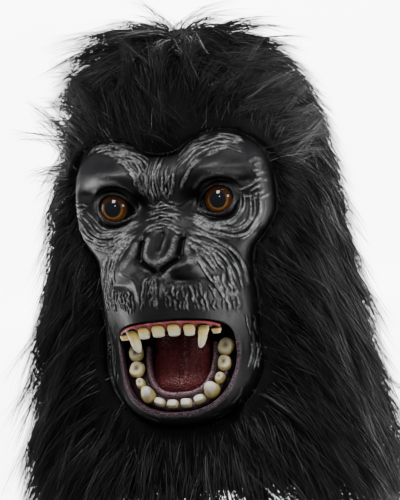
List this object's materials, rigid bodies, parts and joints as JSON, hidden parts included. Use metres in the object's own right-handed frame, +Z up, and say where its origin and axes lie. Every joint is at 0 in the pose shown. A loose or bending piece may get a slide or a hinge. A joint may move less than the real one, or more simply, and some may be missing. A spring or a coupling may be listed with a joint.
{
  "type": "gorilla mask",
  "caption": "Full-head gorilla costume mask: hollow moulded latex face with amber eyes and an open toothed mouth, set in a long-pile black fur hood that pulls over the head.",
  "frame": {"origin": "the crown point on the inside of the hood, where it rests on the top of the wearer's head", "axes": "+Z up through the crown, the face looks along -Y, +X towards the mask's own left eye"},
  "size_m": [0.3117, 0.2893, 0.4048],
  "materials": {
    "black_latex": "semi-gloss moulded latex, raised wrinkles dry-brushed grey",
    "mouth_latex": "semi-gloss moulded latex, purple-grey to black",
    "tongue_latex": "glossy moulded latex, dark red",
    "gum_latex": "glossy moulded latex, pink red",
    "tooth_latex": "glossy painted latex, ivory with yellow stains",
    "eye_acrylic": "clear gloss over an amber iris",
    "black_knit": "matt knitted backing",
    "black_fur": "long-pile synthetic fur"
  },
  "bodies": {
    "root": {"hood_backing": "black_knit", "fur_pile": "black_fur", "face_skin": "black_latex", "eye_left": "eye_acrylic", "eye_right": "eye_acrylic", "mouth_lining": "mouth_latex", "lower_gum": "mouth_latex", "tongue": "tongue_latex", "upper_gum": "gum_latex", "lower_incisor_inner_left": "tooth_latex", "lower_incisor_inner_right": "tooth_latex", "lower_incisor_outer_left": "tooth_latex", "lower_incisor_outer_right": "tooth_latex", "lower_canine_left": "tooth_latex", "lower_canine_right": "tooth_latex", "lower_premolar_left": "tooth_latex", "lower_premolar_right": "tooth_latex", "lower_molar_front_left": "tooth_latex", "lower_molar_front_right": "tooth_latex", "lower_molar_back_left": "tooth_latex", "lower_molar_back_right": "tooth_latex", "upper_incisor_inner_left": "tooth_latex", "upper_incisor_inner_right": "tooth_latex", "upper_incisor_outer_left": "tooth_latex", "upper_incisor_outer_right": "tooth_latex", "upper_canine_left": "tooth_latex", "upper_canine_right": "tooth_latex", "upper_premolar_left": "tooth_latex", "upper_premolar_right": "tooth_latex"}
  },
  "joints": []
}
